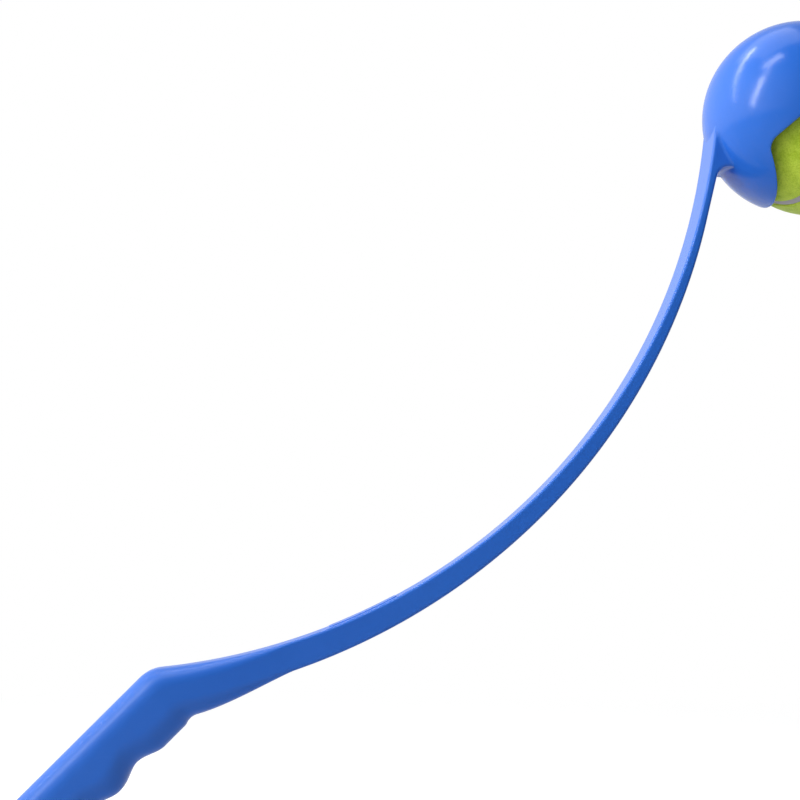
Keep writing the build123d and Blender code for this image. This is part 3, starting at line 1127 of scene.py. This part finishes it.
@dataclass
class FeltBall:
    """Felt-covered ball: two dog-bone panels, the seam between them, and loose fibres.

    row_spread shares the spacing of a panel's rows between a sine and an even step; a row's points
    are even up to the first share of edge_start and close up over the second. fibre_middle and
    fibre_tip hold how far out and how far aside a fibre's middle and tip lie, in fibre lengths.
    """

    centre: np.ndarray
    radius: float = 32.6
    felt_thickness: float = 2.6
    seam_width: float = 2.6
    seam_recess: float = 0.5
    seam_gap: float = 0.06
    lobe_tilt: float = 20.0
    turn: Triple = (-167.3, -8.9, 56.6)
    edge_roll: float = 0.85
    edge_drop: float = 0.9
    felt_inset: float = 0.12
    nap_wave: float = 0.07
    nap_waves: tuple[tuple[float, Triple, Triple], ...] = (
        (1.0, (61.0, 37.0, 23.0), (-29.0, 53.0, 41.0)), (0.6, (97.0, -71.0, 13.0), (19.0, 83.0, -67.0)))
    seam_crown: float = 0.12
    seam_steps: tuple[int, int] = (130, 13)
    rows: int = 230
    row_spread: Pair = (0.35, 0.65)
    edge_start: Pair = (0.9, 0.1)
    edge_steps: tuple[int, int] = (46, 12)
    fibres: int = 15000
    fibre_seed: int = 7
    fibre_scatter: float = 0.012
    fibre_clear: float = 0.35
    fibre_length: Pair = (0.5, 1.15)
    fibre_half_width: Pair = (0.035, 0.06)
    fibre_bend: Pair = (0.5, 1.1)
    fibre_root: float = 0.1
    fibre_middle: Pair = (0.32, 0.26)
    fibre_tip: Pair = (0.46, 0.72)
    fibre_inset: float = 0.02

    def __post_init__(self) -> None:
        """Radius of the lobes' circles, which touch at the equator, and the ball's turn."""
        self.lobe_radius = math.acos(-math.sin(math.radians(self.lobe_tilt)) ** 2) / 2
        about = [Matrix.Rotation(math.radians(a), 3, axis) for a, axis in zip(self.turn, "XYZ")]
        self.turned = np.array(about[0] @ about[1] @ about[2])

    def place(self, directions: np.ndarray, radius: np.ndarray | float, flip: bool = False) -> np.ndarray:
        """Places on the ball from directions in its own frame.

        Args:
            directions: (..., 3) unit vectors.
            radius: distance from the ball's centre.
            flip: whether to turn the directions to the second panel first.

        Returns:
            (..., 3) places in the model's frame.
        """
        own = directions
        if flip:
            own = np.stack([directions[..., 1], directions[..., 0], -directions[..., 2]], axis=-1)
        return self.centre + (own @ self.turned.T) * np.asarray(radius)[..., None]

    def seam_distance(self, directions: np.ndarray) -> np.ndarray:
        """Signed arc distance from the seam's middle, positive on the first panel.

        Formula: above the equator, the angle to the nearer lobe of the second panel less the
        lobe's radius; below it, the lobe's radius less the angle to the nearer lobe of the first.

        Args:
            directions: (..., 3) unit vectors in the ball's own frame.

        Returns:
            Distance in millimetres.
        """
        tilt = math.radians(self.lobe_tilt)
        x, y, z = np.abs(directions[..., 0]), np.abs(directions[..., 1]), directions[..., 2]
        upper = np.arccos(np.clip(y * math.cos(tilt) + z * math.sin(tilt), -1, 1)) - self.lobe_radius
        lower = self.lobe_radius - np.arccos(np.clip(x * math.cos(tilt) - z * math.sin(tilt), -1, 1))
        return np.where(z > 0, upper, lower) * self.radius

    def felt_radius(self, directions: np.ndarray, own_side: np.ndarray) -> np.ndarray:
        """Radius of the felt, rolled down by a quarter round towards the seam, with a soft nap of waves.

        Args:
            directions: (..., 3) unit vectors in the ball's own frame.
            own_side: arc distance from the seam's middle.

        Returns:
            Radii in millimetres.
        """
        roll = self.edge_roll
        from_edge = np.clip(own_side - self.seam_width / 2 - self.seam_gap, 0.0, roll)
        fall = roll - np.sqrt(np.maximum(roll ** 2 - (roll - from_edge) ** 2, 0.0))
        waves = sum(share * np.sin(directions @ np.array(first)) * np.sin(directions @ np.array(second))
                    for share, first, second in self.nap_waves)
        level = self.radius - self.felt_inset - fall * self.edge_drop
        return level + self.nap_wave * waves * ease(from_edge / roll)

    def panel(self, name: str, flip: bool) -> bpy.types.Object:
        """One felt panel.

        Formula: rows follow the great circle through both lobes; each row crosses it from one
        edge to the other, at latitude share times the edge's latitude.

        Args:
            name: the object's name.
            flip: whether this is the second panel.

        Returns:
            The closed panel, with its rolled edge and its underside.
        """
        tilt = math.radians(self.lobe_tilt)
        trim = (self.seam_width / 2 + self.seam_gap) / self.radius
        reach = math.pi / 2 + tilt + self.lobe_radius - trim
        eased, even = self.row_spread
        sweep = np.sin(np.linspace(-np.pi / 2, np.pi / 2, self.rows)) * reach * eased
        sweep = sweep + np.linspace(-1, 1, self.rows) * reach * even
        sweep[[0, -1]] = [-reach, reach]
        size = np.abs(sweep)
        # below the equator the edge is this panel's own circle, above it the other panel's
        own = np.cos(self.lobe_radius - trim) / np.maximum(np.cos(size - math.pi / 2 - tilt), 1e-9)
        low = np.arccos(np.clip(own, -1, 1))
        a, b = math.cos(tilt), np.cos(size) * math.sin(tilt)
        sine = math.cos(self.lobe_radius + trim) / np.hypot(a, b)
        high = np.arcsin(np.clip(sine, -1, 1)) - np.arctan2(b, a)
        edge = np.where(size > math.pi / 2, low, high)
        (start, rest), (flats, bends) = self.edge_start, self.edge_steps
        share = np.concatenate([np.linspace(0.0, start, flats, endpoint=False),
                                start + rest * np.sin(np.linspace(0, np.pi / 2, bends))])
        share = np.concatenate([-share[:0:-1], share])
        latitude = share[None, :] * edge[:, None]
        longitude = sweep[:, None] + 0 * latitude
        directions = np.stack([np.sin(longitude) * np.cos(latitude), np.sin(latitude),
                               np.cos(longitude) * np.cos(latitude)], axis=-1)
        top = self.felt_radius(directions, self.seam_distance(directions))
        bottom = np.full_like(top, self.radius - self.felt_thickness)
        outer, inner = self.place(directions, top, flip), self.place(directions, bottom, flip)
        grid = np.concatenate([outer, inner[:, ::-1]], axis=1)
        return skin(name, grid, loop=True)

    def seam(self) -> bpy.types.Object:
        """The seam strip.

        Formula: one circle gives the arc above the equator, from where the sine of the arc's own
        angle is -tan(tilt) / tan(lobe); a quarter turn with a mirror leads to each following arc.
        The strip is a crowned band along them, half the seam's width to each side.

        Returns:
            The strip's object.
        """
        tilt = math.radians(self.lobe_tilt)
        axis = np.array([0.0, math.cos(tilt), math.sin(tilt)])
        across, upward = np.array([1.0, 0.0, 0.0]), np.array([0.0, -math.sin(tilt), math.cos(tilt)])
        dip = math.asin(math.tan(tilt) / math.tan(self.lobe_radius))
        along, wide = self.seam_steps
        angles = np.linspace(-dip, math.pi + dip, along)[:-1, None, None]
        width = np.linspace(-1.0, 1.0, wide)
        spread = (self.lobe_radius + width * self.seam_width / 2 / self.radius)[None, :, None]
        ring = np.cos(angles) * across + np.sin(angles) * upward
        arc = np.cos(spread) * axis + np.sin(spread) * ring
        following = np.array([[0.0, -1.0, 0.0], [1.0, 0.0, 0.0], [0.0, 0.0, -1.0]])
        arcs = []
        for _ in range(4):
            arcs.append(arc)
            arc = arc[:, ::-1] @ following.T
        band = np.concatenate(arcs)
        crown = self.radius - self.seam_recess - self.seam_crown * width ** 2
        outer = self.place(band, crown + 0 * band[..., 0])
        inner = self.place(band, np.full(band.shape[:2], self.radius - self.felt_thickness))
        ringed = np.concatenate([outer, inner[:, ::-1]], axis=1)
        rows, columns = ringed.shape[:2]
        # the last row's faces run on to the first
        faces = grid_faces(rows + 1, columns, loop=True) % (rows * columns)
        obj = make_mesh("seam_band", ringed.reshape(-1, 3), faces)
        close_up(obj)
        return obj

    def fuzz(self) -> bpy.types.Object:
        """Loose fibres that stand off the felt.

        Formula: each fibre is a thin curved blade of two quads; it leaves the felt at a
        golden-angle place, leans by a seeded random amount, and narrows to its tip.

        Returns:
            The fibres, one object.
        """
        rng = np.random.default_rng(self.fibre_seed)
        index = np.arange(self.fibres * 2) + 0.5
        height = 1 - 2 * index / len(index)
        turned = index * math.pi * (1 + math.sqrt(5))
        flat = np.sqrt(1 - height ** 2)
        directions = np.stack([flat * np.cos(turned), flat * np.sin(turned), height], axis=-1)
        directions = unit(directions + rng.normal(0, self.fibre_scatter, directions.shape))
        seam = np.abs(self.seam_distance(directions))
        directions = directions[seam > self.seam_width / 2 + self.fibre_clear][:self.fibres * 2:2]
        seam = np.abs(self.seam_distance(directions))
        count = len(directions)
        lean = np.cross(directions, unit(rng.normal(size=(count, 3))))
        side = unit(np.cross(directions, lean))
        length = rng.uniform(*self.fibre_length, count)[:, None]
        thick = rng.uniform(*self.fibre_half_width, count)[:, None]
        root = directions * (self.felt_radius(directions, seam) - self.fibre_root)[:, None]
        bend = rng.uniform(*self.fibre_bend, count)[:, None]
        middle, tip = (root + (directions * out + unit(lean) * aside * bend) * length
                       for out, aside in (self.fibre_middle, self.fibre_tip))
        within = self.radius - self.fibre_inset
        middle, tip = (place * np.minimum(1.0, within / np.linalg.norm(place, axis=-1, keepdims=True))
                       for place in (middle, tip))
        ends = ((root, -1.0), (root, 1.0), (middle, 0.7), (middle, -0.7), (tip, 0.15), (tip, -0.15))
        blades = np.stack([place + side * thick * share for place, share in ends], axis=1)
        places = self.centre + blades.reshape(-1, 3) @ self.turned.T
        base = (np.arange(count) * 6)[:, None]
        faces = np.concatenate([base + np.array([0, 1, 2, 3]), base + np.array([3, 2, 4, 5])])
        return make_mesh("felt_fuzz", places, faces)


# ---------------------------------------------------------------- studio


@dataclass
class Studio:
    """Camera, floor, surroundings and lamps."""

    camera_place: Triple = (76.77, -581.18, 81.92)
    camera_right: Triple = (0.9978032, -0.06624788, 0.0)
    camera_up: Triple = (-0.0063405, -0.09549853, 0.99540938)
    camera_back: Triple = (-0.06594376, -0.99322266, -0.09570879)
    lens: float = 72.0
    sensor: float = 36.0
    clip: Pair = (0.01, 100.0)
    floor_height: float = -60.0
    floor_reach: float = 6000.0
    floor_roughness: float = 0.9
    floor_lift: float = 0.4
    floor_shine: float = 0.42
    floor_shine_span: Pair = (0.0, 0.5)
    floor_middle: float = 0.13
    floor_fade: Pair = (0.35, 1.1)
    room_tint: Triple = (0.97, 0.98, 1.0)
    room_left_right: Pair = (2.0, 0.02)
    room_front_back: Pair = (0.16, 0.95)
    room_below_above: Pair = (0.1, 0.2)
    room_border: Pair = (-0.02, 0.02)

    def camera(self) -> bpy.types.Object:
        """Make the camera and set it as the scene's own.

        Returns:
            The camera.
        """
        data = bpy.data.cameras.new("camera")
        data.lens, data.sensor_width = self.lens, self.sensor
        data.clip_start, data.clip_end = self.clip
        camera = bpy.data.objects.new("camera", data)
        turned = Matrix((self.camera_right, self.camera_up, self.camera_back)).transposed()
        camera.matrix_world = Matrix.Translation([v * MM for v in self.camera_place]) @ turned.to_4x4()
        bpy.context.scene.collection.objects.link(camera)
        bpy.context.scene.camera = camera
        bpy.context.scene.view_settings.view_transform = "Standard"
        return camera

    def floor(self) -> bpy.types.Object:
        """Plain white floor that keeps the object's shadow, fades far out and is clear from below.

        Returns:
            The floor.
        """
        corners = np.array([[-1, -1], [1, -1], [1, 1], [-1, 1]]) * self.floor_reach
        points = np.concatenate([corners, np.full((4, 1), self.floor_height)], axis=1)
        floor = make_mesh("floor", points, np.array([[0, 1, 2, 3]]), smooth=False)
        material, sheet, shader, place = start_material("floor")
        path = sheet.add("ShaderNodeLightPath").outputs
        paint = sheet.blend("white to the camera, grey to the object", path["Is Camera Ray"],
                            Tint.FLOOR_GREY.value, Tint.FLOOR_WHITE.value)
        depth = sheet.add("ShaderNodeSeparateXYZ", "", {0: place}).outputs["Y"]
        behind = sheet.span("bright behind the launcher", depth, self.floor_shine_span,
                            (0.0, self.floor_shine), interpolation_type="SMOOTHSTEP")
        shine = sheet.calc("MULTIPLY", "in reflections only", behind, path["Is Glossy Ray"])
        glow = sheet.calc("MULTIPLY_ADD", "lift for the camera", path["Is Camera Ray"],
                          self.floor_lift, shine)
        sheet.fill(shader, {"Base Color": paint, "Roughness": self.floor_roughness, "Specular IOR Level": 0.0,
                            "Emission Color": (1.0, 1.0, 1.0, 1.0), "Emission Strength": glow})
        far = sheet.add("ShaderNodeVectorMath", "distance from under the launcher",
                        {0: place, 1: (self.floor_middle, 0.0, self.floor_height * MM)}, operation="DISTANCE")
        fade = sheet.span("plain white far out", far.outputs["Value"], self.floor_fade,
                          interpolation_type="SMOOTHSTEP")
        seen = sheet.calc("MULTIPLY", "for the camera only", fade, path["Is Camera Ray"])
        white = sheet.add("ShaderNodeEmission", "white").outputs[0]
        clear = sheet.add("ShaderNodeBsdfTransparent", "clear from below").outputs[0]
        above = sheet.either(seen, shader.outputs["BSDF"], white)
        both = sheet.either(sheet.add("ShaderNodeNewGeometry").outputs["Backfacing"], above, clear)
        leave = next(node for node in material.node_tree.nodes if node.type == "OUTPUT_MATERIAL")
        sheet.fill(leave, {"Surface": both})
        floor.data.materials.append(material)
        return floor

    def surroundings(self) -> None:
        """White surroundings, plain white to the camera.

        Formula of the light they give: over the three axes, the sum of the direction's squared
        share times the brightness of the side that it points to.
        """
        world = bpy.data.worlds.new("white studio")
        bpy.context.scene.world = world
        world.use_nodes = True
        world.node_tree.nodes.clear()
        sheet = NodeSheet(world.node_tree)
        place = sheet.add("ShaderNodeTexCoord").outputs["Generated"]
        split = sheet.add("ShaderNodeSeparateXYZ", "", {0: place}).outputs
        parts = []
        for axis, sides in zip("XYZ", (self.room_left_right, self.room_front_back, self.room_below_above)):
            side = sheet.span(f"the two sides along {axis}", split[axis], self.room_border, sides)
            square = sheet.calc("MULTIPLY", "share of this axis", split[axis], split[axis])
            parts.append(sheet.calc("MULTIPLY", "share times brightness", side, square))
        total = parts[0]
        for part in parts[1:]:
            total = sheet.calc("ADD", "sum over the axes", total, part)
        soft = sheet.add("ShaderNodeBackground", "light and reflections",
                         {"Color": (*self.room_tint, 1.0), "Strength": total})
        white = sheet.add("ShaderNodeBackground", "seen by the camera",
                          {"Color": (1.0, 1.0, 1.0, 1.0), "Strength": 1.0})
        path = sheet.add("ShaderNodeLightPath").outputs
        mixed = sheet.either(path["Is Camera Ray"], soft.outputs[0], white.outputs[0])
        sheet.add("ShaderNodeOutputWorld", "", {"Surface": mixed})

    def lamp(self, name: str, place: Triple, aim: Triple, size: Pair, watts: float, reflected: bool = True,
             run: Triple = (1.0, 0.0, 0.0)) -> None:
        """Rectangular soft lamp.

        Args:
            name: the lamp's name.
            place: its centre, in millimetres.
            aim: the point that it faces, in millimetres.
            size: its length and its width, in millimetres.
            watts: its power.
            reflected: whether it shows in reflections.
            run: the direction that its length follows as closely as it can.
        """
        data = bpy.data.lights.new(name, "AREA")
        data.shape, data.size, data.size_y = "RECTANGLE", size[0] * MM, size[1] * MM
        data.energy = watts
        lamp = bpy.data.objects.new(name, data)
        at, to = np.array(place) * MM, np.array(aim) * MM
        back = unit(at - to)
        along = unit(np.array(run) - back * (back @ np.array(run)))
        turned = Matrix(np.stack([along, np.cross(back, along), back], axis=1).tolist()).to_4x4()
        lamp.matrix_world = Matrix.Translation(at) @ turned
        lamp.visible_camera, lamp.visible_glossy = False, reflected
        bpy.context.scene.collection.objects.link(lamp)

    def lamps(self) -> None:
        """Three strips whose streaks show on the cup, a small soft box, and two keys above and in front."""
        self.lamp("strip_behind", (-1300, 290, 1000), (-1300, 250, 0), (2500, 42), 6.2)
        self.lamp("strip_before", (-2000, -900, 1000), (-1800, -700, 0), (3000, 140), 6.5,
                  run=(0.956, 0.292, 0.0))
        self.lamp("strip_left", (-975, -516, 787), (266, 0, 246), (780, 80), 3.8,
                  run=(0.442, -0.127, 0.889))
        self.lamp("soft_box", (-190, -255, 1000), (-150, -200, 0), (350, 110), 1.1)
        self.lamp("key_above", (0, 250, 1300), (150, 0, 150), (800, 800), 2.5)
        self.lamp("key_front", (100, -300, 420), (230, 0, 220), (200, 200), 0.12, reflected=False)


# ---------------------------------------------------------------- assembly


def dress(obj: bpy.types.Object, material: bpy.types.Material, body: str,
          nodes: tuple[str, ...] = ()) -> None:
    """Give a piece its finish and its place in the frame.

    Args:
        obj: the piece.
        material: its finish.
        body: the body that it rides on.
        nodes: the CAD nodes that it stands for.
    """
    obj.data.materials.clear()
    obj.data.materials.append(material)
    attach(obj, body)
    if nodes:
        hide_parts(*nodes)
    log.info("%s: %d faces, rides on %s, stands for %s", obj.name, len(obj.data.polygons), body,
             ", ".join(nodes) or "nothing")


def main() -> None:
    """Load the frame, build each sub-assembly in order and light it."""
    logging.basicConfig(level=logging.INFO, format="%(name)s: %(message)s")
    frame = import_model()
    blue = MouldedPlastic().material()
    felt = BallFelt().material()
    seam_rubber = BareRubber("seam rubber", Tint.SEAM_GREY).material()
    core_rubber = BareRubber("core rubber", Tint.CORE_BLACK, roughness=0.7).material()

    sizes = Moulding()
    bar = GripAndArm(sizes)
    body, pad = bar.build()
    dress(body, blue, "launcher", ("grip", "throwing_arm"))
    dress(pad, blue, "launcher")
    cup = Cup(sizes, bar)
    dress(cup.build(), blue, "launcher", ("ball_cup",))

    ball = FeltBall(sizes.cup_centre + heading(cup.exit_angle) * cup.ball_seat)
    dress(ball.panel("felt_front", flip=False), felt, "ball", ("felt_panel_front",))
    dress(ball.panel("felt_back", flip=True), felt, "ball", ("felt_panel_back",))
    dress(ball.seam(), seam_rubber, "ball", ("seam_strip",))
    dress(ball.fuzz(), felt, "ball")
    for name in ("core_half_upper", "core_half_lower"):
        node = frame["nodes"][name]
        node.data.materials.clear()
        node.data.materials.append(core_rubber)

    studio = Studio()
    studio.camera()
    studio.floor()
    studio.surroundings()
    studio.lamps()


if __name__ == "__main__":
    main()
